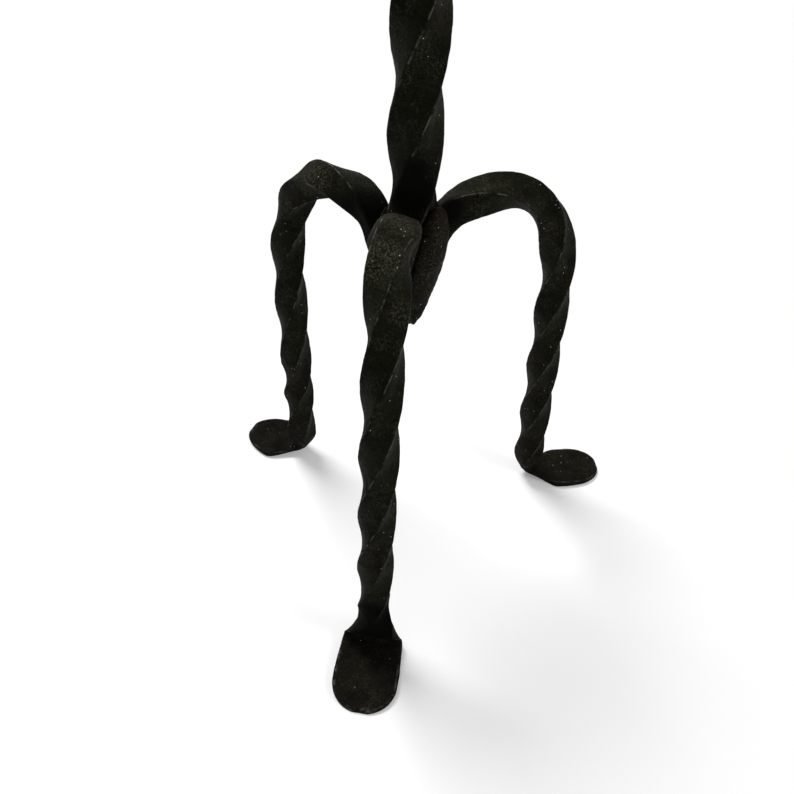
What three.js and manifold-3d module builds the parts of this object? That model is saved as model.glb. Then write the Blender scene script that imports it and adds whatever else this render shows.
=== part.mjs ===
// A wrought-iron torchere: a floor-standing candle stand forged from twisted square bar.
// Three crooks of lighter bar make a tripod. Each one starts as a drawn-down point low on the
// axis, climbs beside the heavy shaft, arches over and drops to the floor, where its end is
// hammered out into a flat rounded pad. The shaft's own lower end is drawn to a point between
// them. Its upper end carries a collar, a dished drip pan and a pricket for a pillar candle.
// Millimetres, +Z up, front leg towards -Y, standing on z = 0.

import * as THREE from 'three';
import { mergeVertices } from 'three/addons/utils/BufferGeometryUtils.js';
import Module from 'manifold-3d';

const wasm = await Module();
wasm.setup();

// ---- driving dimensions ----

const CLEARANCE = 0.3;            // left between two pieces that touch

// bar stock
const LEG_BAR = 26.6;             // square bar of the legs, across its flats
const LEG_EDGE = 1.8;             // hammered flat on the bar's corners
const SHAFT_BAR = 34;
const SHAFT_EDGE = 2.4;
const SHAFT_QUARTER_TURN = 86.5;

// shaft, heights above the floor
const SHAFT_POINT = 366;          // drawn lower end, hidden between the legs
const SHAFT_POINT_BAR = 10;       // bar left at that end
const SHAFT_FULL = 432;           // from here up the bar has its full section
const SHAFT_SHOULDER = 1262;      // where the bar ends and its round tenon begins
const SHAFT_PLAIN_TOP = 46;       // length below the shoulder that isn't twisted
const SHAFT_TWIST_START = 79;     // degrees, turn of the bar's flats at SHAFT_FULL
const TENON_DIAMETER = 16;
const TENON_LET_IN = 8;           // how deep the tenon starts inside the bar

// legs: crook common to all three, in reach from the axis and height above the floor
const TIP_REACH = 1.4;
const TIP_HEIGHT = 306;
const TIP_BAR = 13.5;             // bar left at the drawn tip
const TIP_LENGTH = 98;            // length over which the tip is drawn down
const WELDED_LENGTH = 75;         // inner end that lies against the other legs
const WELD_RUN_OUT = 45;          // length in which the leg comes free of it
const SWAY_FROM = 160;            // stretch of the leg in which its sideways sway runs out
const SWAY_TO = 260;
const TONGUE_LENGTH = 70;         // stretch before the twist that is hammered wider over the crown
const TONGUE_RUN_OUT = 30;
const SWELL_RUN_OUT = 120;        // the last fifth of that width runs out more slowly
const ROOT_BEND = 20;             // how far the inner end runs on into its bend
const CROWN_IN = 40;              // how flat the crown is towards the shaft
const CROWN_OUT = 52;             // and away from it
const SHOULDER_DROP = 62;
const ANKLE_HEIGHT = 34;          // where the bar stops and the foot begins

// foot pad
const INSTEP_RADIUS = 5;
const PAD_THICKNESS = 8.5;        // at the instep
const TOE_THICKNESS = 6;
const TOE_LEAN = 1.5;             // how far the toe's upper edge stands back from its lower one
const TOE_SQUARENESS = 2.4;       // 2 would round it to an ellipse
const PINCH_IN = 22;              // where below the ankle the heel is fully pinched in
const PINCH_FROM = 35;            // and where it starts to widen out again
const PINCH_TO = 65;
const TOE_END = 0.97;             // share of that rounding the toe runs through before it ends blunt

// What differs from leg to leg, as they come from the hammer. The twist starts at twistFrom from
// the tip and goes on to the ankle by one flat in each quarterTurn, and its flats line up with the
// foot over the untwist length above the ankle. The inner end stands askew of the flats. The front
// leg's crown is spread into a tongue and sways to one side, and its tip is tucked in between the
// other two. A pad widens from flareFrom to flareTo, counted from the ankle down.
const LEGS = [
  {
    name: 'leg_front', azimuth: 270, ankleTurn: 63,
    rootReach: 26, rootHeight: 400, crownReach: 79, crownHeight: 443.5,
    shoulderReach: 152, shoulderHeight: 293, ankleReach: 167.5,
    quarterTurn: 76, twistFrom: 165, askew: 0, untwistFrom: 0, untwistTo: 60,
    tongue: 1.42, tuck: 4, sway: 5,
    toeReach: 247, toeTurn: 0, toeRound: 34, padWidth: 67.5, flareFrom: -22, flareTo: 45,
    heelRadius: 24, instepBar: 14.5, pinch: 0.2,
  },
  {
    name: 'leg_rear_left', azimuth: 149.5, ankleTurn: 55,
    rootReach: 30, rootHeight: 379, crownReach: 82, crownHeight: 417,
    shoulderReach: 156, shoulderHeight: 287, ankleReach: 155,
    quarterTurn: 79, twistFrom: 105, askew: -14, untwistFrom: 40, untwistTo: 120,
    tongue: 1, tuck: 0, sway: 0,
    toeReach: 231, toeTurn: 14, toeRound: 60, padWidth: 65, flareFrom: 15, flareTo: 62,
    heelRadius: 33, instepBar: 21, pinch: 0.6,
  },
  {
    name: 'leg_rear_right', azimuth: 32, ankleTurn: 83,
    rootReach: 19, rootHeight: 386, crownReach: 77, crownHeight: 425,
    shoulderReach: 161.5, shoulderHeight: 307, ankleReach: 173.5,
    quarterTurn: 76, twistFrom: 118, askew: 0, untwistFrom: 0, untwistTo: 60,
    tongue: 1, tuck: 0, sway: 0,
    toeReach: 266, toeTurn: -16, toeRound: 40, padWidth: 56, flareFrom: 15, flareTo: 65,
    heelRadius: 33, instepBar: 21, pinch: 0.65,
  },
];

// top fittings
const COLLAR_DIAMETER = 54;
const COLLAR_HEIGHT = 28;
const COLLAR_BULGE = 9;
const PAN_DIAMETER = 230;
const PAN_FLOOR_DIAMETER = 104;
const PAN_DEPTH = 24;
const PAN_GAUGE = 3;
const PAN_RIM = 7;                // width of the rim turned outwards
const PAN_SWEEP = 0.7;            // how far out, from floor to wall, the dish begins to climb
const BOSS_DIAMETER = 42;
const BOSS_HEIGHT = 16;
const BOSS_SHOULDER = 4;          // rounding between its side and the flat top that a candle sits on
const SOCKET_DEPTH = 12;          // blind socket in the boss that takes the tenon's end
const SPIKE_DIAMETER = 12;
const SPIKE_HEIGHT = 108;
const SPIKE_POINT = 1.6;          // diameter left at the point

const BAR_STEP = 7;               // spacing of the sections along a bar
const FOOT_STEPS = 26;
const ROUND_SIDES = 48;
const CURVE_POINTS = 6;

const UP = new THREE.Vector3(0, 0, 1);
const radians = THREE.MathUtils.degToRad;
const smooth = THREE.MathUtils.smoothstep;
const mix = THREE.MathUtils.lerp;

// ---- solids ----

function solid(geometry) {
  const bare = geometry.clone();
  bare.deleteAttribute('normal');
  bare.deleteAttribute('uv');
  const merged = mergeVertices(bare, 1e-4);
  return new wasm.Manifold(new wasm.Mesh({
    numProp: 3,
    vertProperties: new Float32Array(merged.attributes.position.array),
    triVerts: new Uint32Array(merged.index.array),
  }));
}

function geometryOf(body) {
  const mesh = body.getMesh();
  const geometry = new THREE.BufferGeometry();
  geometry.setAttribute('position', new THREE.BufferAttribute(new Float32Array(mesh.vertProperties), 3));
  geometry.setIndex(new THREE.BufferAttribute(new Uint32Array(mesh.triVerts), 1));
  geometry.computeVertexNormals();
  return geometry;
}

// ---- forged square bar ----

// A unit square from -1 to 1 with its corners hammered flat by the given share of the half side.
function barSection(flat) {
  const inner = 1 - flat;
  const shape = new THREE.Shape();
  shape.moveTo(1, -inner);
  shape.lineTo(1, inner);
  shape.lineTo(inner, 1);
  shape.lineTo(-inner, 1);
  shape.lineTo(-1, inner);
  shape.lineTo(-1, -inner);
  shape.lineTo(-inner, -1);
  shape.lineTo(inner, -1);
  shape.closePath();
  return shape;
}

// Draws the section through a list of stations. A station has its centre, the two half sides as
// vectors, the turn of the bar's flats from them, and the share by which its back is pinched in.
function forge(section, stations) {
  const geometry = new THREE.ExtrudeGeometry(section, {
    depth: stations.length - 1, steps: stations.length - 1, bevelEnabled: false,
  });
  const position = geometry.attributes.position;
  const point = new THREE.Vector3();
  for (let i = 0; i < position.count; i += 1) {
    point.fromBufferAttribute(position, i);
    const { centre, across, along, turn, pinch = 0 } = stations[Math.round(point.z)];
    const u = point.x * Math.cos(turn) - point.y * Math.sin(turn);
    const pinched = 1 - pinch * (1 - u) / 2;
    const v = (point.x * Math.sin(turn) + point.y * Math.cos(turn)) * pinched;
    point.copy(centre).addScaledVector(across, u).addScaledVector(along, v);
    position.setXYZ(i, point.x, point.y, point.z);
  }
  return solid(geometry);
}

// ---- shaft ----

// The bar is one clearance larger each way where the legs are cut to fit round it.
function shaftBar(clearance) {
  const low = SHAFT_POINT - clearance;
  const count = Math.ceil((SHAFT_SHOULDER - low) / BAR_STEP);
  const twistEnd = SHAFT_SHOULDER - SHAFT_PLAIN_TOP;
  const perTurn = 4 * SHAFT_QUARTER_TURN;
  const stations = [];
  for (let i = 0; i <= count; i += 1) {
    const height = mix(low, SHAFT_SHOULDER, i / count);
    const drawn = smooth(height, SHAFT_POINT, SHAFT_FULL);
    const half = mix(SHAFT_POINT_BAR, SHAFT_BAR, drawn) / 2 + clearance;
    const twisted = Math.min(height, twistEnd) - SHAFT_FULL;
    stations.push({
      centre: new THREE.Vector3(0, 0, height),
      across: new THREE.Vector3(half, 0, 0),
      along: new THREE.Vector3(0, half, 0),
      turn: radians(SHAFT_TWIST_START + 360 * twisted / perTurn),
    });
  }
  return forge(barSection(2 * SHAFT_EDGE / SHAFT_BAR), stations);
}

// Heights of what sits on the shoulder.
const COLLAR_BASE = SHAFT_SHOULDER + CLEARANCE;
const PAN_BASE = COLLAR_BASE + COLLAR_HEIGHT + CLEARANCE;
const BOSS_BASE = PAN_BASE + PAN_GAUGE + CLEARANCE;
const BORE_RADIUS = TENON_DIAMETER / 2 + CLEARANCE;

function tenon() {
  const top = BOSS_BASE + SOCKET_DEPTH - CLEARANCE;
  const root = SHAFT_SHOULDER - TENON_LET_IN;
  const round = new THREE.CylinderGeometry(
    TENON_DIAMETER / 2, TENON_DIAMETER / 2, top - root, ROUND_SIDES,
  );
  round.rotateX(Math.PI / 2);
  round.translate(0, 0, (top + root) / 2);
  return solid(round);
}

// ---- legs ----

// Centre line of a crook from its tip to its ankle, as reach and height.
function crook(leg) {
  const tip = new THREE.Vector2(TIP_REACH, TIP_HEIGHT);
  const root = new THREE.Vector2(leg.rootReach, leg.rootHeight);
  const rise = root.clone().sub(tip).setLength(ROOT_BEND).add(root);
  const crown = new THREE.Vector2(leg.crownReach, leg.crownHeight);
  const crownIn = new THREE.Vector2(leg.crownReach - CROWN_IN, leg.crownHeight);
  const crownOut = new THREE.Vector2(leg.crownReach + CROWN_OUT, leg.crownHeight);
  const shoulder = new THREE.Vector2(leg.shoulderReach, leg.shoulderHeight);
  const ankle = new THREE.Vector2(leg.ankleReach, ANKLE_HEIGHT);
  const aboveShoulder = shoulder.clone().sub(ankle).setLength(SHOULDER_DROP).add(shoulder);
  const path = new THREE.CurvePath();
  path.add(new THREE.LineCurve(tip, root));
  path.add(new THREE.CubicBezierCurve(root, rise, crownIn, crown));
  path.add(new THREE.CubicBezierCurve(crown, crownOut, aboveShoulder, shoulder));
  path.add(new THREE.LineCurve(shoulder, ankle));
  return path;
}

// Side profile of a foot: the heel and sole behind, the shin and instep in front.
function footProfile(leg) {
  const half = LEG_BAR / 2;
  const heel = leg.ankleReach - half;
  const shin = leg.ankleReach + half;
  const behind = new THREE.Path();
  behind.moveTo(heel, ANKLE_HEIGHT);
  behind.lineTo(heel, leg.heelRadius);
  behind.absarc(
    heel + leg.heelRadius, leg.heelRadius, leg.heelRadius, Math.PI, 1.5 * Math.PI, false,
  );
  behind.lineTo(leg.toeReach, 0);
  const instep = heel + leg.instepBar + INSTEP_RADIUS;
  const front = new THREE.Path();
  front.moveTo(shin, ANKLE_HEIGHT);
  front.lineTo(instep - INSTEP_RADIUS, PAD_THICKNESS + INSTEP_RADIUS);
  front.absarc(instep, PAD_THICKNESS + INSTEP_RADIUS, INSTEP_RADIUS, Math.PI, 1.5 * Math.PI, false);
  front.lineTo(leg.toeReach - TOE_LEAN, TOE_THICKNESS);
  return { behind, front };
}

// The turn of the flats in degrees at a distance from the tip. The inner end was welded before the
// twisting, so its flats still face the shaft, and near the ankle the twist eases to whole flats.
function legTurn(leg, distance, length) {
  const regular = (at) => leg.ankleTurn - 90 * (length - at) / leg.quarterTurn;
  const lineUp = 90 * Math.round(leg.ankleTurn / 90) - leg.ankleTurn;
  const eased = 1 - smooth(length - distance, leg.untwistFrom, leg.untwistTo);
  const start = regular(leg.twistFrom);
  const twisted = distance < leg.twistFrom ? start : regular(distance) + lineUp * eased;
  const welded = 90 * Math.round(start / 90) + leg.askew;
  return mix(welded, twisted, smooth(distance, WELDED_LENGTH, leg.twistFrom));
}

// How much of the tongue's extra width the bar has at a distance from the tip.
function tongueShare(leg, distance) {
  const rise = smooth(distance, leg.twistFrom - TONGUE_LENGTH, leg.twistFrom - LEG_BAR);
  const fall = smooth(distance, leg.twistFrom - TONGUE_RUN_OUT / 3, leg.twistFrom + TONGUE_RUN_OUT);
  const swell = smooth(distance, leg.twistFrom, leg.twistFrom + SWELL_RUN_OUT);
  return rise * (1 - mix(fall, swell, 0.2));
}

function barStations(leg, out) {
  const path = crook(leg);
  const side = out.clone().cross(UP);
  const length = path.getLength();
  const count = Math.ceil(length / BAR_STEP);
  const stations = [];
  for (let i = 0; i < count; i += 1) {
    const distance = length * i / count;
    const spot = path.getPointAt(i / count);
    const tangent = path.getTangentAt(i / count);
    const half = mix(TIP_BAR, LEG_BAR, smooth(distance, 0, TIP_LENGTH)) / 2;
    const free = smooth(distance, WELDED_LENGTH, WELDED_LENGTH + WELD_RUN_OUT);
    const tucked = leg.tuck * (1 - free);
    const swayed = leg.sway * free * (1 - smooth(distance, SWAY_FROM, SWAY_TO));
    const spread = mix(1, leg.tongue, tongueShare(leg, distance)) * flare(leg, distance - length);
    const normal = out.clone().multiplyScalar(-tangent.y);
    normal.z = tangent.x;
    stations.push({
      centre: out.clone().multiplyScalar(spot.x).setZ(spot.y).addScaledVector(side, tucked + swayed),
      across: normal.multiplyScalar(half),
      along: side.clone().multiplyScalar(half * spread - tucked),
      turn: radians(legTurn(leg, distance, length)),
    });
  }
  return stations;
}

// How many times wider than its bar the foot is, at a distance from the ankle down.
function flare(leg, distance) {
  return mix(1, leg.padWidth / LEG_BAR, smooth(distance, leg.flareFrom, leg.flareTo));
}

// The foot turns about the ankle as it leaves it, so that the toe points a little to one side.
function footStations(leg, out) {
  const { behind, front } = footProfile(leg);
  const length = (behind.getLength() + front.getLength()) / 2;
  const ankle = out.clone().multiplyScalar(leg.ankleReach);
  const turn = radians(90 * Math.round(leg.ankleTurn / 90));
  const stations = [];
  for (let i = 0; i <= FOOT_STEPS; i += 1) {
    const back = behind.getPointAt(i / FOOT_STEPS);
    const fore = front.getPointAt(i / FOOT_STEPS);
    const middle = back.clone().add(fore).multiplyScalar(0.5);
    const distance = length * i / FOOT_STEPS;
    const intoToe = Math.max(0, distance - (length - leg.toeRound)) / leg.toeRound;
    const round = Math.sqrt(1 - (TOE_END * intoToe) ** TOE_SQUARENESS);
    const halfWidth = LEG_BAR / 2 * flare(leg, distance) * round;
    const pinched = smooth(distance, 0, PINCH_IN) * (1 - smooth(distance, PINCH_FROM, PINCH_TO));
    const swing = radians(leg.toeTurn) * smooth(distance, 0, ANKLE_HEIGHT);
    const ahead = out.clone().applyAxisAngle(UP, swing);
    const across = ahead.clone().multiplyScalar((fore.x - back.x) / 2).setZ((fore.y - back.y) / 2);
    stations.push({
      centre: ankle.clone().addScaledVector(ahead, middle.x - leg.ankleReach).setZ(middle.y),
      across,
      along: ahead.cross(UP).multiplyScalar(halfWidth),
      turn,
      pinch: leg.pinch * pinched,
    });
  }
  return stations;
}

// The wedge between its two neighbours that a leg has to itself, with its edge on the axis.
function sector(index) {
  const own = LEGS[index].azimuth;
  const turnTo = (other) => ((LEGS[other].azimuth - own) % 360 + 540) % 360 - 180;
  const spans = [...LEGS.keys()].filter((other) => other !== index).map(turnTo);
  const from = radians(own + Math.max(...spans.filter((span) => span < 0)) / 2);
  const to = radians(own + Math.min(...spans.filter((span) => span > 0)) / 2);
  const middle = (from + to) / 2;
  const half = (to - from) / 2;
  const apex = CLEARANCE / 2 / Math.sin(half);
  const far = 2 * Math.max(...LEGS.map((leg) => leg.toeReach)) / Math.cos(half);
  const x = apex * Math.cos(middle);
  const y = apex * Math.sin(middle);
  const shape = new THREE.Shape();
  shape.moveTo(x, y);
  shape.lineTo(x + far * Math.cos(from), y + far * Math.sin(from));
  shape.lineTo(x + far * Math.cos(to), y + far * Math.sin(to));
  shape.closePath();
  const top = Math.max(...LEGS.map((leg) => leg.crownHeight)) + 2 * LEG_BAR;
  const wedge = new THREE.ExtrudeGeometry(shape, { depth: top + LEG_BAR, bevelEnabled: false });
  wedge.translate(0, 0, -LEG_BAR);
  return solid(wedge);
}

// One leg, cut clear of its neighbours and of the space the shaft takes.
function leg(index, shaftSpace) {
  const own = LEGS[index];
  const azimuth = radians(own.azimuth);
  const out = new THREE.Vector3(Math.cos(azimuth), Math.sin(azimuth), 0);
  const stations = [...barStations(own, out), ...footStations(own, out)];
  const forging = forge(barSection(2 * LEG_EDGE / LEG_BAR), stations);
  return forging.intersect(sector(index)).subtract(shaftSpace);
}

// ---- top fittings, all turned about the axis ----

function turned(points, base) {
  const geometry = new THREE.LatheGeometry(points, ROUND_SIDES);
  geometry.rotateX(Math.PI / 2);
  geometry.translate(0, 0, base);
  return solid(geometry);
}

function collar() {
  const waist = COLLAR_DIAMETER / 2 - COLLAR_BULGE;
  const profile = new THREE.Path();
  profile.moveTo(BORE_RADIUS, 0);
  profile.lineTo(waist, 0);
  profile.absellipse(
    waist, COLLAR_HEIGHT / 2, COLLAR_BULGE, COLLAR_HEIGHT / 2, -Math.PI / 2, Math.PI / 2, false, 0,
  );
  profile.lineTo(BORE_RADIUS, COLLAR_HEIGHT);
  profile.lineTo(BORE_RADIUS, 0);
  return turned(profile.getPoints(CURVE_POINTS), COLLAR_BASE);
}

function dripPan() {
  const floor = PAN_FLOOR_DIAMETER / 2;
  const rim = PAN_DIAMETER / 2;
  const wall = rim - PAN_RIM;
  const sweep = mix(floor, wall, PAN_SWEEP);
  const profile = new THREE.Path();
  profile.moveTo(BORE_RADIUS, 0);
  profile.lineTo(floor, 0);
  profile.quadraticCurveTo(sweep, 0, wall, PAN_DEPTH - PAN_GAUGE);
  profile.lineTo(rim, PAN_DEPTH - PAN_GAUGE);
  profile.lineTo(rim, PAN_DEPTH);
  profile.lineTo(wall - PAN_GAUGE / 2, PAN_DEPTH);
  profile.quadraticCurveTo(sweep, PAN_GAUGE, floor, PAN_GAUGE);
  profile.lineTo(BORE_RADIUS, PAN_GAUGE);
  profile.lineTo(BORE_RADIUS, 0);
  return turned(profile.getPoints(CURVE_POINTS), PAN_BASE);
}

function pricket() {
  const boss = BOSS_DIAMETER / 2;
  const spike = SPIKE_DIAMETER / 2;
  const point = SPIKE_POINT / 2;
  const top = BOSS_HEIGHT + SPIKE_HEIGHT;
  const profile = new THREE.Path();
  profile.moveTo(0, SOCKET_DEPTH);
  profile.lineTo(BORE_RADIUS, SOCKET_DEPTH);
  profile.lineTo(BORE_RADIUS, 0);
  profile.lineTo(boss, 0);
  profile.lineTo(boss, BOSS_HEIGHT - BOSS_SHOULDER);
  profile.quadraticCurveTo(boss, BOSS_HEIGHT, boss - BOSS_SHOULDER, BOSS_HEIGHT);
  profile.lineTo(spike, BOSS_HEIGHT);
  profile.lineTo(point, top - point);
  profile.lineTo(0, top);
  return turned(profile.getPoints(CURVE_POINTS), BOSS_BASE);
}

// ---- assembly ----

const BLACKENED = { color: 0x24231f, roughness: 0.52, metalness: 0.75 };

function piece(name, body) {
  const mesh = new THREE.Mesh(geometryOf(body), new THREE.MeshStandardMaterial(BLACKENED));
  mesh.name = name;
  return mesh;
}

const stand = new THREE.Group();
stand.add(piece('shaft', shaftBar(0).add(tenon())));
const shaftSpace = shaftBar(CLEARANCE);
LEGS.forEach((own, index) => stand.add(piece(own.name, leg(index, shaftSpace))));
stand.add(piece('collar', collar()));
stand.add(piece('drip_pan', dripPan()));
stand.add(piece('pricket', pricket()));

// The middle of the footprint is the origin; the shaft stands a little behind or before it.
const footprint = new THREE.Box3().setFromObject(stand);
stand.position.x = -(footprint.min.x + footprint.max.x) / 2;
stand.position.y = -(footprint.min.y + footprint.max.y) / 2;

const torchere = new THREE.Group();
torchere.add(stand);

export default torchere;
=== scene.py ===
import math

import bpy
import numpy as np
from mathutils import Matrix, Vector


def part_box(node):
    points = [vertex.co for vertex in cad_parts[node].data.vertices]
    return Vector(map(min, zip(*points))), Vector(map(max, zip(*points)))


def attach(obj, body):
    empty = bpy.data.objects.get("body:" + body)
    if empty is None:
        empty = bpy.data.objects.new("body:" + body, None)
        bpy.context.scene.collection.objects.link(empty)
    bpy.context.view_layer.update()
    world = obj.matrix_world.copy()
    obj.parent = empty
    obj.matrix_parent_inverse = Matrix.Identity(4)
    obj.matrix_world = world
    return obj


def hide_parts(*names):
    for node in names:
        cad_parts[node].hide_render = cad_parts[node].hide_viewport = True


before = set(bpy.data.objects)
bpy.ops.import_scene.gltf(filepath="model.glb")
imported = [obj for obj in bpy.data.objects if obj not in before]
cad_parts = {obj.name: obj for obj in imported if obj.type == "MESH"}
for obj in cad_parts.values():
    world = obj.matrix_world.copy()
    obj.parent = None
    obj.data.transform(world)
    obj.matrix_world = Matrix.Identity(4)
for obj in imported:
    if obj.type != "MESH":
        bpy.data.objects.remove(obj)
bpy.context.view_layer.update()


# ---- Blackened iron ----
# Every piece is the same wrought iron, blackened hot with oil and left satin. Fire scale and the
# hammer give it a fine grain and shallow dents, and its raised edges are rubbed back to grey metal.

class Wire:
    """The output of a node in a tree. Arithmetic on it adds Math nodes, and node() any other node."""

    def __init__(self, tree, socket=None):
        self.tree = tree
        self.socket = socket

    def node(self, kind, settings=(), sockets=(), out=0):
        made = self.tree.nodes.new(kind)
        for name, value in dict(settings).items():
            setattr(made, name, value)
        for key, value in dict(sockets).items():
            if isinstance(value, Wire):
                self.tree.links.new(value.socket, made.inputs[key])
            else:
                made.inputs[key].default_value = value
        return Wire(self.tree, made.outputs[out] if made.outputs else None)

    def maths(self, operation, first, second=0.0):
        return self.node("ShaderNodeMath", {"operation": operation}, {0: first, 1: second})

    def __add__(self, other):
        return self.maths("ADD", self, other)

    def __radd__(self, other):
        return self.maths("ADD", other, self)

    def __sub__(self, other):
        return self.maths("SUBTRACT", self, other)

    def __rsub__(self, other):
        return self.maths("SUBTRACT", other, self)

    def __mul__(self, other):
        return self.maths("MULTIPLY", self, other)

    def __rmul__(self, other):
        return self.maths("MULTIPLY", other, self)

    def __truediv__(self, other):
        return self.maths("DIVIDE", self, other)

    def __rtruediv__(self, other):
        return self.maths("DIVIDE", other, self)

    def __pow__(self, other):
        return self.maths("POWER", self, other)

    def __abs__(self):
        return self.maths("ABSOLUTE", self)

    def floor(self):
        return self.maths("FLOOR", self)

    def sine(self):
        return self.maths("SINE", self)

    def cosine(self):
        return self.maths("COSINE", self)

    def larger(self, other):
        return self.maths("MAXIMUM", self, other)

    def step(self, low, high):
        """0 below low, 1 above high and smooth between them."""
        return self.node("ShaderNodeMapRange", {"interpolation_type": "SMOOTHSTEP"},
                         {"Value": self, "From Min": low, "From Max": high})

    def blend(self, first, second):
        """The first colour where this value is 0, the second where it is 1."""
        return self.node("ShaderNodeMix", {"data_type": "RGBA"}, {0: self, 6: first, 7: second}, out=2)


shaft_low, shaft_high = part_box("shaft")
axis = Vector(((shaft_low.x + shaft_high.x) / 2, (shaft_low.y + shaft_high.y) / 2, 0.0))

# painted highlight and dust: places beside the shaft, with the distances at which it is full and gone
DUST_AND_HIGHLIGHT_PLACES = [
    ((-0.012, -0.104, 0.450), 0.010, 0.032),
    ((0.010, -0.128, 0.421), 0.004, 0.016),
    ((-0.091, 0.040, 0.422), 0.010, 0.026),
    ((-0.104, 0.046, 0.404), 0.004, 0.012),
    ((0.018, -0.018, 0.385), 0.000, 0.036),
    ((0.000, -0.062, 0.452), 0.000, 0.036),
]
# painted shade: places beside the shaft, with the distances at which the black is full and gone
PAINTED_SHADE_PLACES = [
    ((0.000, -0.014, 0.452), 0.015, 0.027),
    ((0.000, -0.016, 0.473), 0.006, 0.026),
    ((-0.043, 0.008, 0.405), 0.018, 0.034),
    ((-0.030, 0.010, 0.425), 0.006, 0.018),
    ((0.032, 0.009, 0.424), 0.006, 0.018),
    ((0.000, -0.172, 0.050), 0.028, 0.042),
    ((0.000, -0.180, 0.074), 0.010, 0.028),
]


def blackened_iron():
    material = bpy.data.materials.new("blackened_iron")
    material.use_nodes = True
    tree = material.node_tree
    surface = tree.nodes["Principled BSDF"]
    start = Wire(tree)
    place = start.node("ShaderNodeTexCoord", out=3)

    def noise(scale, detail=2.0, roughness=0.5):
        return start.node("ShaderNodeTexNoise", sockets={
            "Vector": place, "Scale": scale, "Detail": detail, "Roughness": roughness})

    def near(spot, full, gone):
        """1 within the first distance of a place beside the shaft, 0 beyond the second."""
        apart = start.node("ShaderNodeVectorMath", {"operation": "DISTANCE"},
                           {0: place, 1: axis + Vector(spot)}, out=1)
        return 1.0 - apart.step(full, gone)

    # oil black that drifts between olive and brown, brownest near the floor and at the weld
    height = start.node("ShaderNodeSeparateXYZ", sockets={0: place}, out=2)
    olive = (0.0050, 0.0055, 0.0018, 1.0)
    brown = (0.0088, 0.0060, 0.0034, 1.0)
    black = (0.0006, 0.0006, 0.0004, 1.0)
    scale_and_highlight_grey = (0.044, 0.044, 0.029, 1.0)
    worn_grey = (0.120, 0.116, 0.100, 1.0)
    chalk = (0.62, 0.60, 0.56, 1.0)
    drift = noise(26.0, 3.0).step(0.40, 0.62)
    earthy = (1.0 - height.step(0.02, 0.09)) * 0.4 + near((0.010, -0.040, 0.415), 0.03, 0.08) * 0.7
    colour = (drift * 0.45 + earthy).step(0.0, 1.0).blend(olive, brown)

    # soot in patches and flecks, and paler fire scale in fine grains, painted thick on the crowns as a
    # highlight
    soot = noise(48.0, 4.0, 0.6).step(0.46, 0.66)
    flecks = noise(430.0, 3.0, 0.75).step(0.47, 0.60)
    colour = (soot * 0.55).blend(colour, black)
    colour = (flecks * 0.75).blend(colour, black)
    grain = noise(560.0, 3.0, 0.75)
    dust_and_highlight = noise(62.0, 3.0, 0.6).step(0.42, 0.66) * 0.55 + 0.12
    # on the crowns of the arches and beside the front crown the pale grains paint a highlight
    for spot, full, gone in DUST_AND_HIGHLIGHT_PLACES:
        dust_and_highlight = dust_and_highlight.larger(near(spot, full, gone))
    flakes_and_highlight = grain.step(0.47, 0.60) * dust_and_highlight
    colour = (flakes_and_highlight * 0.85).blend(colour, scale_and_highlight_grey)

    # edges rubbed back to metal, and short scratches
    edge = start.node("ShaderNodeAttribute", {"attribute_name": "edge"}, out=2)
    rubbed = edge * noise(95.0, 4.0, 0.7).step(0.44, 0.62)
    colour = (rubbed * 0.7).blend(colour, worn_grey)
    stretched = start.node("ShaderNodeVectorMath", {"operation": "MULTIPLY"}, {
        0: place, 1: (1400.0, 1400.0, 120.0)})
    lines = start.node("ShaderNodeTexNoise", sockets={"Vector": stretched, "Scale": 1.0, "Detail": 1.0})
    scratches = lines.step(0.72, 0.76) * noise(40.0, 2.0).step(0.50, 0.60)
    colour = (scratches * 0.6).blend(colour, worn_grey)

    # specks of dust and old paint, one in a few of many small cells
    cells = {"Vector": place, "Scale": 300.0}
    from_middle = start.node("ShaderNodeTexVoronoi", sockets=cells)
    lot = start.node("ShaderNodeTexVoronoi", sockets=cells, out=1)
    chance = start.node("ShaderNodeSeparateColor", sockets={0: lot})
    clustered = noise(34.0, 2.0).step(0.45, 0.62) * 0.04 + dust_and_highlight * 0.03
    specks = (1.0 - from_middle.step(0.08, 0.18)) * (chance + clustered).step(0.965, 0.975)
    colour = (specks * 0.8).blend(colour, chalk)

    # painted shade: black where the legs crowd the shaft and on the front leg's shin
    painted_shade = near(*PAINTED_SHADE_PLACES[0])
    for spot, full, gone in PAINTED_SHADE_PLACES[1:]:
        painted_shade = painted_shade.larger(near(spot, full, gone))
    colour = (painted_shade * 0.95).blend(colour, black)
    # the iron darker towards the floor
    low_down = 1.0 - height.step(0.0, 0.14)
    colour = (low_down * 0.35).blend(colour, black)

    # the hammer's dents, with the grain of the scale in them
    dents = start.node("ShaderNodeTexVoronoi", {"feature": "SMOOTH_F1"}, {
        "Vector": place, "Scale": 85.0, "Smoothness": 0.6})
    relief = dents * 0.5 + noise(160.0, 3.0) * 0.40 + grain * 0.22 + specks * 0.1
    bump = start.node("ShaderNodeBump", sockets={
        "Strength": 0.9, "Distance": 0.0018, "Height": relief})
    dullness = 0.58 + grain * 0.16 + soot * 0.12 - rubbed * 0.14 + painted_shade * 0.12

    surface.inputs["Specular IOR Level"].default_value = 0.035
    for name, wire in (("Base Color", colour), ("Roughness", dullness), ("Normal", bump),
                       ("Metallic", rubbed * 0.6)):
        tree.links.new(wire.socket, surface.inputs[name])
    return material


iron = blackened_iron()


# ---- Shaft ----
# The upright is one length of heavy square bar, twisted hot over its whole length. Its lower end
# is drawn out to a point between the legs. A plain stretch below the collar was held in the vice.

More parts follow.
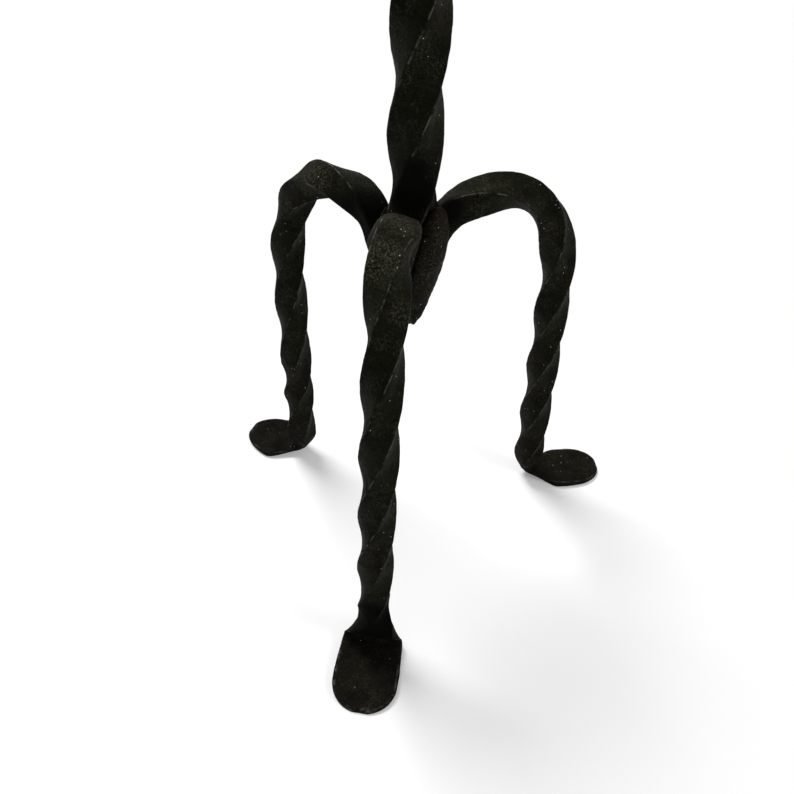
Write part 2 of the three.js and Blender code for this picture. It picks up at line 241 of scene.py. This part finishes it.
def forging_tree():
    """A forged bar: a rounded square section drawn through the stations of the piece's guide line."""
    tree = bpy.data.node_groups.new("forged_bar", "GeometryNodeTree")
    named = {}
    for label, kind in (("Guide", "NodeSocketGeometry"), ("Points per flat", "NodeSocketInt"),
                        ("Hammer depth", "NodeSocketFloat"), ("Hammer spacing", "NodeSocketFloat"),
                        ("Finish", "NodeSocketMaterial")):
        named[label] = tree.interface.new_socket(name=label, in_out="INPUT", socket_type=kind)
    tree.interface.new_socket(name="Bar", in_out="OUTPUT", socket_type="NodeSocketGeometry")
    group = tree.nodes.new("NodeGroupInput")
    size = {label: Wire(tree, group.outputs[label]) for label in named}
    start = Wire(tree)
    guide = size["Guide"]

    ring = size["Points per flat"] * 4 + 1
    count = start.node("GeometryNodeAttributeDomainSize", sockets={0: guide})
    skin = start.node("GeometryNodeMeshGrid", sockets={"Vertices X": count, "Vertices Y": ring})
    index = start.node("GeometryNodeInputIndex")
    station = ((index + 0.5) / ring).floor()
    point = index - station * ring

    def at_station(name, kind="FLOAT_VECTOR"):
        value = start.node("GeometryNodeInputNamedAttribute", {"data_type": kind}, {0: name})
        return start.node("GeometryNodeSampleIndex", {"data_type": kind, "domain": "POINT"},
                          {0: guide, 1: value, 2: station})

    # where the point stands on the section: which flat it is on and how far along it. What is
    # added before each division keeps a whole number from falling short.
    flat = ((point + 0.01) / size["Points per flat"]).floor()
    along_flat = ((point / size["Points per flat"] - flat - 0.5) * math.pi).sine()
    squareness = at_station("squareness", "FLOAT")
    rounding = (1.0 + abs(along_flat) ** squareness) ** (-1.0 / squareness)
    angle = at_station("turn", "FLOAT") + flat * (math.pi / 2)
    x = rounding * (angle.cosine() - along_flat * angle.sine())
    y = rounding * (angle.sine() + along_flat * angle.cosine())

    def scaled(vector, factor):
        return start.node("ShaderNodeVectorMath", {"operation": "SCALE"}, {0: vector, 3: factor})

    def added(first, second):
        return start.node("ShaderNodeVectorMath", {"operation": "ADD"}, {0: first, 1: second})

    # a pinched section is narrower at its back than at its front
    y = y * (1.0 - (1.0 - x) * 0.5 * at_station("pinch", "FLOAT"))
    reach = added(scaled(at_station("across"), x), scaled(at_station("along"), y))
    outward = start.node("ShaderNodeVectorMath", {"operation": "NORMALIZE"}, {0: reach})
    spot = added(at_station("centre"), reach)

    # the hammer only ever pushes metal in
    blows = start.node("ShaderNodeTexNoise", sockets={
        "Vector": spot, "Scale": 1.0 / size["Hammer spacing"], "Detail": 2.0})
    spot = added(spot, scaled(outward, (blows.step(0.25, 0.75) - 1.0) * size["Hammer depth"]))
    skin = start.node("GeometryNodeSetPosition", sockets={"Geometry": skin, "Position": spot})

    # the corners of the square and the rim of the foot are where the finish rubs off
    arris = abs(along_flat).step(0.93, 1.0) * squareness.step(2.0, 6.0)
    edge = arris.larger(at_station("rim", "FLOAT"))
    skin = start.node("GeometryNodeStoreNamedAttribute", {"data_type": "FLOAT", "domain": "POINT"},
                      {"Geometry": skin, "Name": "edge", "Value": edge})
    skin = start.node("GeometryNodeMergeByDistance", sockets={"Geometry": skin, "Distance": 2e-6})
    skin = start.node("GeometryNodeFlipFaces", sockets={"Mesh": skin})
    skin = start.node("GeometryNodeSetShadeSmooth", sockets={"Geometry": skin})
    skin = start.node("GeometryNodeRealizeInstances", sockets={"Geometry": skin})
    skin = start.node("GeometryNodeSetMaterial", sockets={"Geometry": skin, "Material": size["Finish"]})
    tree.links.new(skin.socket, tree.nodes.new("NodeGroupOutput").inputs[0])
    return tree, {label: socket.identifier for label, socket in named.items()}


forged_bar, forged_bar_inputs = forging_tree()

# the exponent of the section's outline: 2 is round, and mill bar has small radii at its corners
BAR_SQUARENESS = 12.0


def forge(name, node, stations, hammer_depth=0.0005):
    """Makes a piece from its stations, in metres. It stands for a CAD node, where one is named."""
    guide_line = bpy.data.meshes.new(name + "_guide")
    guide_line.from_pydata([tuple(s["centre"]) for s in stations], [], [])
    for label in ("centre", "across", "along"):
        values = guide_line.attributes.new(label, "FLOAT_VECTOR", "POINT")
        values.data.foreach_set("vector", np.array([s[label] for s in stations], "f").ravel())
    for label, usual in (("turn", 0.0), ("rim", 0.0), ("pinch", 0.0), ("squareness", BAR_SQUARENESS)):
        values = guide_line.attributes.new(label, "FLOAT", "POINT")
        values.data.foreach_set("value", np.array([s.get(label, usual) for s in stations], "f"))
    guide = bpy.data.objects.new(name + "_guide", guide_line)
    bpy.context.collection.objects.link(guide)
    modifier = guide.modifiers.new("forging", "NODES")
    modifier.node_group = forged_bar
    for label, value in (("Points per flat", 14), ("Hammer depth", hammer_depth),
                         ("Hammer spacing", 0.012), ("Finish", iron)):
        modifier[forged_bar_inputs[label]] = value
    ready = guide.evaluated_get(bpy.context.evaluated_depsgraph_get())
    body = bpy.data.meshes.new_from_object(ready)
    bpy.data.objects.remove(guide)
    piece = bpy.data.objects.new(name, body)
    bpy.context.collection.objects.link(piece)
    if node:
        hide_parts(node)
    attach(piece, "root")
    return piece


def closed(stations):
    """Adds a station without width at each end, which closes the bar."""
    ends = []
    for end in (stations[0], stations[-1]):
        ends.append(dict(end, across=end["across"] * 0.0, along=end["along"] * 0.0))
    return [ends[0], *stations, ends[1]]


def smooth(value, low, high):
    share = min(max((value - low) / (high - low), 0.0), 1.0)
    return share * share * (3.0 - 2.0 * share)


def mix(first, second, share):
    return first + (second - first) * share


def shaft_stations():
    bar, point_bar = 0.034, 0.010
    point, full, shoulder = 0.366, 0.432, 1.262
    quarter_turn, start_turn, plain = 0.0865, 79.0, 0.046
    count = 450
    stations = []
    for height in np.linspace(point, shoulder, count):
        half = mix(point_bar, bar, smooth(height, point, full)) / 2
        twisted = min(height, shoulder - plain) - full
        stations.append({
            "centre": np.array((axis.x, axis.y, height)),
            "across": np.array((half, 0.0, 0.0)),
            "along": np.array((0.0, half, 0.0)),
            "turn": math.radians(start_turn + 90.0 * twisted / quarter_turn),
        })
    return closed(stations)


forge("shaft_bar", "shaft", shaft_stations())


# ---- Legs ----
# Each leg is one length of lighter square bar, twisted hot and bent into a crook beside the shaft.
# Its foot is the same bar, bent out on the anvil's edge and hammered flat into a rounded pad.

def even(points, count):
    """Points at even distances along a line of points, and the line's length."""
    points = np.array(points)
    steps = np.linalg.norm(np.diff(points, axis=0), axis=1)
    reached = np.concatenate([[0.0], np.cumsum(steps)])
    wanted = np.linspace(0.0, reached[-1], count)
    spread = np.stack([np.interp(wanted, reached, points[:, k]) for k in range(2)], axis=1)
    return spread, reached[-1]


def bend(*handles, steps=80):
    """A cubic curve from the first handle to the last."""
    share = np.linspace(0.0, 1.0, steps)[:, None]
    a, b, c, d = (np.array(h, float) for h in handles)
    return ((1 - share) ** 3 * a + 3 * (1 - share) ** 2 * share * b
            + 3 * (1 - share) * share ** 2 * c + share ** 3 * d)


def corner(centre, radius, start, end, steps=16):
    turns = np.radians(np.linspace(start, end, steps))
    return [(centre[0] + radius * math.cos(t), centre[1] + radius * math.sin(t)) for t in turns]


def towards(origin, target, length):
    way = np.subtract(target, origin)
    return way / np.linalg.norm(way) * length


LEG_BAR = 0.0266
ANKLE = 0.034


def leg_stations(*, azimuth, turn, quarter_turn, twisted_from, untwist, root, crown, shoulder, ankle,
                 tip_height=0.306, tongue=1.0, tuck=0.0, sway=0.0, heft=0.0, askew=0.0,
                 hub_squareness=4.0, toe, toe_turn, toe_round, pad_width, flare, heel_radius,
                 instep_bar, pinch, pinch_from=0.0):
    """The stations of one leg, whose places are reach and height from the shaft's foot.

    flare and pinch_from are measured from the ankle, untwist upwards from it, and twisted_from
    from the tip of the bar. Turns are in degrees. Beside the shaft, tongue widens the bar, tuck
    narrows it on one side, sway bows it sideways, heft thickens it and askew turns its flats.
    """
    out = np.array((math.cos(math.radians(azimuth)), math.sin(math.radians(azimuth)), 0.0))
    up = np.array((0.0, 0.0, 1.0))
    foot_of_shaft = np.array(axis)
    side = np.cross(out, up)
    line_up = 90.0 * round(turn / 90.0) - turn

    # the bar, from its drawn tip on the axis to the ankle
    tip, tip_bar, tip_length = (0.0014, tip_height), 0.0135, 0.098
    tip_round, tip_fullness = 0.020, 0.99
    root_pull, crown_pull_in, crown_pull_out, shoulder_pull = 0.020, 0.040, 0.052, 0.062
    ankle_spot = (ankle, ANKLE)
    rise = towards(tip, root, root_pull)
    settle = towards(ankle_spot, shoulder, shoulder_pull)
    line = np.concatenate([
        [tip],
        bend(root, np.add(root, rise), (crown[0] - crown_pull_in, crown[1]), crown),
        bend(crown, (crown[0] + crown_pull_out, crown[1]), np.add(shoulder, settle), shoulder)[1:],
        [ankle_spot],
    ])
    bar_count, foot_count = 380, 150
    spots, length = even(line, bar_count)
    tangents = np.gradient(spots, axis=0)
    tangents /= np.linalg.norm(tangents, axis=1)[:, None]
    root_length = math.dist(tip, root)

    # the inner end was welded before the bar was twisted, so its flats still face the shaft
    first_turn = turn - 90.0 * (length - twisted_from) / quarter_turn
    flat_turn = 90.0 * round(first_turn / 90.0) + askew
    turning = (root_length - 0.01, twisted_from)

    def twist(distance):
        above = length - max(distance, twisted_from)
        level_out = line_up * (1 - smooth(length - distance, *untwist))
        regular = turn - 90.0 * above / quarter_turn + level_out
        return math.radians(mix(flat_turn, regular, smooth(distance, *turning)))

    # where each change of the section starts and ends, from the tip, and the pinch from the ankle
    thickening, weld_end, rounding = (0.0, 0.04), (0.075, 0.12), (0.06, 0.10)
    sway_out, sway_back = (0.08, 0.14), (0.16, 0.26)
    tongue_out = (twisted_from - 0.07, twisted_from - 0.02)
    tongue_back = (twisted_from - 0.01, twisted_from + 0.02)
    tongue_fade, slow_share = (twisted_from, twisted_from + 0.12), 0.2
    squaring = (twisted_from - 0.02, twisted_from + 0.03)
    pinching = (pinch_from, pinch_from + 0.022)

    stations = []
    for k, (spot, tangent) in enumerate(zip(spots[:-1], tangents)):
        distance = length * k / (len(spots) - 1)
        past_ankle = distance - length
        rounded = math.sqrt(1.0 - tip_fullness * (1.0 - min(distance / tip_round, 1.0)) ** 2)
        half = mix(tip_bar, LEG_BAR, smooth(distance, 0.0, tip_length)) / 2 * rounded
        inner = 1 - smooth(distance, *weld_end)
        tucked, thicker = tuck * inner, heft * inner * smooth(distance, *thickening) / 2
        swayed = sway * smooth(distance, *sway_out) * (1 - smooth(distance, *sway_back))
        spread = smooth(distance, *tongue_out) * (
            1 - mix(smooth(distance, *tongue_back), smooth(distance, *tongue_fade), slow_share))
        widened = mix(1.0, pad_width / LEG_BAR, smooth(past_ankle, *flare))
        softened = smooth(distance, *rounding) * (1 - smooth(distance, *squaring))
        normal = -tangent[1] * out + tangent[0] * up
        on_line = foot_of_shaft + out * spot[0] + up * spot[1]
        stations.append({
            "centre": on_line + side * (tucked + swayed) + normal * thicker,
            "across": normal * (half + thicker),
            "along": side * (half * mix(1.0, tongue, spread) * widened - tucked),
            "turn": twist(distance),
            "pinch": pinch * smooth(past_ankle, *pinching),
            "squareness": mix(BAR_SQUARENESS, hub_squareness, softened),
        })

    # the foot, between the line of its heel and sole and the line of its shin and instep
    instep_radius, pad, toe_edge, toe_slope = 0.005, 0.0085, 0.006, 0.0015
    toe_squareness, toe_reach, rubbed_rim, pinch_end = 2.4, 0.97, 0.90, (0.035, 0.065)
    heel = ankle - LEG_BAR / 2
    shin = heel + LEG_BAR
    instep = heel + instep_bar + instep_radius
    behind, sole_length = even([
        (heel, ANKLE),
        *corner((heel + heel_radius, heel_radius), heel_radius, 180, 270),
        (toe, 0.0)], foot_count)
    front, top_length = even([
        (shin, ANKLE),
        *corner((instep, pad + instep_radius), instep_radius, 180, 270),
        (toe - toe_slope, toe_edge)], foot_count)
    foot_turn = twist(length)
    foot_length = (sole_length + top_length) / 2
    for k, (back, fore) in enumerate(zip(behind, front)):
        distance = foot_length * k / (foot_count - 1)
        into_toe = max(0.0, distance - (foot_length - toe_round)) / toe_round
        narrowed = math.sqrt(1.0 - (toe_reach * into_toe) ** toe_squareness)
        half_width = mix(LEG_BAR, pad_width, smooth(distance, *flare)) / 2 * narrowed
        swing = math.radians(toe_turn) * smooth(distance, 0.0, ANKLE)
        ahead = np.array(Matrix.Rotation(swing, 3, "Z") @ Vector(out))
        middle = (back + fore) / 2
        stations.append({
            "centre": foot_of_shaft + out * ankle + ahead * (middle[0] - ankle) + up * middle[1],
            "across": (ahead * (fore[0] - back[0]) + up * (fore[1] - back[1])) / 2,
            "along": np.cross(ahead, up) * half_width,
            "turn": foot_turn,
            "pinch": pinch * smooth(distance, *pinching) * (1 - smooth(distance, *pinch_end)),
            "rim": smooth(into_toe, rubbed_rim, 1.0),
        })
    return closed(stations)


forge("front_leg", "leg_front", leg_stations(
    azimuth=270.0, turn=63.0, quarter_turn=0.076, twisted_from=0.165, untwist=(0.0, 0.060),
    root=(0.026, 0.400), crown=(0.079, 0.4435), shoulder=(0.152, 0.293), ankle=0.1675,
    tongue=1.42, tuck=0.004, sway=0.005, hub_squareness=2.9,
    toe=0.247, toe_turn=0.0, toe_round=0.034, pad_width=0.0675, flare=(-0.040, 0.040),
    heel_radius=0.024, instep_bar=0.0145, pinch=0.34, pinch_from=-0.050))
forge("rear_left_leg", "leg_rear_left", leg_stations(
    azimuth=149.5, turn=55.0, quarter_turn=0.079, twisted_from=0.105, untwist=(0.040, 0.120),
    root=(0.030, 0.379), crown=(0.082, 0.417), shoulder=(0.156, 0.287), ankle=0.155, askew=-14.0,
    toe=0.231, toe_turn=14.0, toe_round=0.060, pad_width=0.065, flare=(0.015, 0.062),
    heel_radius=0.033, instep_bar=0.021, pinch=0.6))
forge("rear_right_leg", "leg_rear_right", leg_stations(
    azimuth=32.0, turn=83.0, quarter_turn=0.076, twisted_from=0.124, untwist=(0.0, 0.060),
    root=(0.019, 0.386), crown=(0.077, 0.425), shoulder=(0.1615, 0.307), ankle=0.1735,
    tip_height=0.300, heft=0.012,
    toe=0.266, toe_turn=-16.0, toe_round=0.040, pad_width=0.056, flare=(0.015, 0.065),
    heel_radius=0.033, instep_bar=0.021, pinch=0.65))


# ---- Weld fillets ----
# The legs were welded to the shaft under the hammer, and the joint squeezed small lumps of metal
# out into the notches between the bars. The largest one lies to the right of the front crown.

def bead(start, end, width, thickness, taper):
    """The stations of a lump of metal between two places beside the shaft.

    taper is how full it is at its end, as a share of how full it would be without a taper.
    """
    start, end = Vector(start), Vector(end)
    run = (end - start).normalized()
    outward = Vector((start.x + end.x, start.y + end.y, 0.0))
    across = (outward - run * outward.dot(run)).normalized()
    along = run.cross(across)
    stations = []
    for share in np.linspace(0.01, 0.99, 48):
        fullness = math.sqrt(1.0 - (2.0 * share - 1.0) ** 2) * mix(1.0, taper, share)
        stations.append({
            "centre": np.array(axis + start.lerp(end, share)),
            "across": np.array(across) * thickness / 2 * fullness,
            "along": np.array(along) * width / 2 * fullness,
            "squareness": 2.0,
        })
    return closed(stations)


# top, bottom, width, thickness and taper
FILLETS = {
    "left_notch": ((-0.019, -0.008, 0.432), (-0.021, -0.006, 0.405), 0.008, 0.012, 1.0),
    "right_notch": ((0.017, 0.008, 0.434), (0.022, 0.006, 0.400), 0.009, 0.012, 1.0),
    "beside_crown": ((0.023, -0.009, 0.437), (0.008, -0.016, 0.314), 0.044, 0.032, 0.5),
    "left_seam": ((-0.017, -0.016, 0.410), (-0.014, -0.014, 0.365), 0.011, 0.011, 1.0),
    "behind": ((0.000, 0.024, 0.425), (0.000, 0.021, 0.385), 0.016, 0.014, 1.0),
}
for seam, lump in FILLETS.items():
    forge("fillet_" + seam, None, bead(*lump), hammer_depth=0.0016)


# ---- Collar, drip pan and pricket ----
# A bulged collar, a dished pan of hammered plate and a boss drawn out into a spike are threaded on
# the shaft's round tenon, whose end is riveted over inside the boss.

def turned(name, node, profile, sides=144, ease=0.0006):
    """Turns a closed profile of radius and height about the shaft, and eases its edges."""
    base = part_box(node)[0].z
    rings = []
    for k in range(sides):
        way = 2.0 * math.pi * k / sides
        rings.append([(axis.x + radius * math.cos(way), axis.y + radius * math.sin(way), base + height)
                      for radius, height in profile])
    points = [p for ring in rings for p in ring]
    size = len(profile)
    faces = []
    for k in range(sides):
        here, there = k * size, (k + 1) % sides * size
        for j in range(size):
            after = (j + 1) % size
            if profile[j][0] == profile[after][0] == 0.0:
                continue
            faces.append((here + j, there + j, there + after, here + after))
    body = bpy.data.meshes.new(name)
    body.from_pydata(points, [], faces)
    body.validate()
    draft = bpy.data.objects.new(name + "_draft", body)
    bpy.context.collection.objects.link(draft)
    weld = draft.modifiers.new("poles", "WELD")
    weld.merge_threshold = 1e-6
    eased = draft.modifiers.new("eased", "BEVEL")
    eased.width = ease
    eased.segments = 3
    eased.limit_method = "ANGLE"
    eased.angle_limit = math.radians(34)
    ready = draft.evaluated_get(bpy.context.evaluated_depsgraph_get())
    finished = bpy.data.meshes.new_from_object(ready)
    bpy.data.objects.remove(draft)
    finished.shade_smooth()
    finished.materials.clear()
    finished.materials.append(iron)
    piece = bpy.data.objects.new(name, finished)
    bpy.context.collection.objects.link(piece)
    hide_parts(node)
    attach(piece, "root")
    return piece


def arc(start, middle, end, steps):
    """A curve from start to end that leans towards its middle handle."""
    share = np.linspace(0.0, 1.0, steps)[:, None]
    a, b, c = (np.array(h, float) for h in (start, middle, end))
    return [tuple(p) for p in (1 - share) ** 2 * a + 2 * (1 - share) * share * b + share ** 2 * c]


BORE = 0.0083

collar_half, collar_neck, collar_bulge = 0.014, 0.018, 0.009
bulge = [(collar_neck + collar_bulge * math.cos(t), collar_half + collar_half * math.sin(t))
         for t in np.linspace(-math.pi / 2, math.pi / 2, 25)]
turned("collar_ring", "collar", [(BORE, 0.0), *bulge, (BORE, 2 * collar_half)])

pan_floor, pan_wall, pan_rim, pan_depth, gauge = 0.052, 0.108, 0.115, 0.024, 0.003
sweep = mix(pan_floor, pan_wall, 0.7)
turned("pan", "drip_pan", [
    (BORE, 0.0), *arc((pan_floor, 0.0), (sweep, 0.0), (pan_wall, pan_depth - gauge), 24),
    (pan_rim, pan_depth - gauge), (pan_rim, pan_depth),
    *arc((pan_wall - gauge / 2, pan_depth), (sweep, gauge), (pan_floor, gauge), 24), (BORE, gauge)])

boss, boss_top, boss_round, socket = 0.021, 0.016, 0.004, 0.012
spike, spike_top, spike_blunt = 0.006, 0.1239, 0.0008
turned("spike", "pricket", [
    (0.0, socket), (BORE, socket), (BORE, 0.0), (boss, 0.0),
    *arc((boss, boss_top - boss_round), (boss, boss_top), (boss - boss_round, boss_top), 8),
    (spike, boss_top), (spike_blunt, spike_top - spike_blunt), (0.0, spike_top)])


# ---- Studio ----
# A white sweep under soft light from the upper left and behind, which throws pale shadows towards
# the lower right and is plain white farther off. The camera looks down from a person's waist height.

floor_mesh = bpy.data.meshes.new("floor")
floor_mesh.from_pydata([(-6, -6, 0), (6, -6, 0), (6, 6, 0), (-6, 6, 0)], [], [(0, 1, 2, 3)])
floor = bpy.data.objects.new("floor", floor_mesh)
bpy.context.collection.objects.link(floor)

white = bpy.data.materials.new("white_floor")
white.use_nodes = True
white.node_tree.nodes.clear()
paper = Wire(white.node_tree)
PURE_WHITE = (1.0, 1.0, 1.0, 1.0)


def mixed(start, share, first, second):
    return start.node("ShaderNodeMixShader", sockets={0: share, 1: first, 2: second})


def seen_directly(start):
    """1 for the camera's rays and for those that metal and glass reflect or let through."""
    camera_ray, glossy_ray, transmission_ray = (
        start.node("ShaderNodeLightPath", out=kind)
        for kind in ("Is Camera Ray", "Is Glossy Ray", "Is Transmission Ray"))
    return camera_ray.larger(glossy_ray).larger(transmission_ray)


# near the stand the floor is bright but takes shadows, and it lights the stand as plain matt white
matt = paper.node("ShaderNodeBsdfDiffuse", sockets={"Color": (0.80, 0.80, 0.80, 1.0)})
bright = paper.node("ShaderNodeBsdfDiffuse", sockets={"Color": (0.86, 0.86, 0.86, 1.0)})
glow = paper.node("ShaderNodeEmission", sockets={"Color": (0.19, 0.19, 0.19, 1.0), "Strength": 1.0})
shaded = paper.node("ShaderNodeAddShader", sockets={0: bright, 1: glow})
blank = paper.node("ShaderNodeEmission", sockets={"Color": PURE_WHITE, "Strength": 1.0})
floor_spot = paper.node("ShaderNodeTexCoord", out=3)
from_stand = paper.node("ShaderNodeVectorMath", {"operation": "LENGTH"}, {0: floor_spot}, out=1)
seen = mixed(paper, from_stand.step(0.22, 0.52), shaded, blank)
shown = mixed(paper, seen_directly(paper), matt, seen)
paper.node("ShaderNodeOutputMaterial", sockets={"Surface": shown})
floor_mesh.materials.append(white)

world = bpy.data.worlds.new("studio")
bpy.context.scene.world = world
world.use_nodes = True
world.node_tree.nodes.clear()
sky = Wire(world.node_tree)
soft = sky.node("ShaderNodeBackground", sockets={"Color": PURE_WHITE, "Strength": 0.30})
backdrop = sky.node("ShaderNodeBackground", sockets={"Color": PURE_WHITE, "Strength": 1.0})
around = mixed(sky, seen_directly(sky), soft, backdrop)
sky.node("ShaderNodeOutputWorld", sockets={"Surface": around})

LAMPS_AIM = Vector((0.0, 0.0, 0.3))


def lamp(name, spot, size, power):
    light = bpy.data.lights.new(name, "AREA")
    light.shape = "DISK"
    light.size = size
    light.energy = power
    holder = bpy.data.objects.new(name, light)
    holder.location = spot
    holder.rotation_euler = (LAMPS_AIM - Vector(spot)).to_track_quat("-Z", "Y").to_euler()
    bpy.context.collection.objects.link(holder)


lamp("key", (-1.0, 0.9, 2.5), 1.1, 60.0)
lamp("side", (1.9, -0.6, 1.3), 1.0, 15.0)

# the camera's distance from the shaft and its height in metres, and its angles in degrees
stand_off, eye_height = 0.605, 0.823
bearing, pitch, heading, roll = (math.radians(angle) for angle in (6.65, 45.8, -7.24, 2.3))
eye = Matrix.Rotation(bearing, 3, "Z") @ Vector((0.0, -stand_off, 0.0)) + Vector((0.0, 0.0, eye_height))
look = Vector((math.sin(heading) * math.cos(pitch), math.cos(heading) * math.cos(pitch), -math.sin(pitch)))
level = Vector((math.cos(heading), -math.sin(heading), 0.0))
upright = level.cross(look)
picture_right = math.cos(roll) * level + math.sin(roll) * upright
picture_up = math.cos(roll) * upright - math.sin(roll) * level
focal_pixels, picture_pixels = 846.0, 794.0
lens = bpy.data.cameras.new("camera")
lens.sensor_fit = "HORIZONTAL"
lens.sensor_width = 36.0
lens.lens = lens.sensor_width * focal_pixels / picture_pixels
lens.clip_start = 0.01
camera = bpy.data.objects.new("camera", lens)
bpy.context.collection.objects.link(camera)
facing = Matrix((picture_right, picture_up, -look)).transposed().to_4x4()
camera.matrix_world = Matrix.Translation(axis + eye) @ facing
bpy.context.scene.camera = camera
bpy.context.scene.view_settings.view_transform = "Standard"
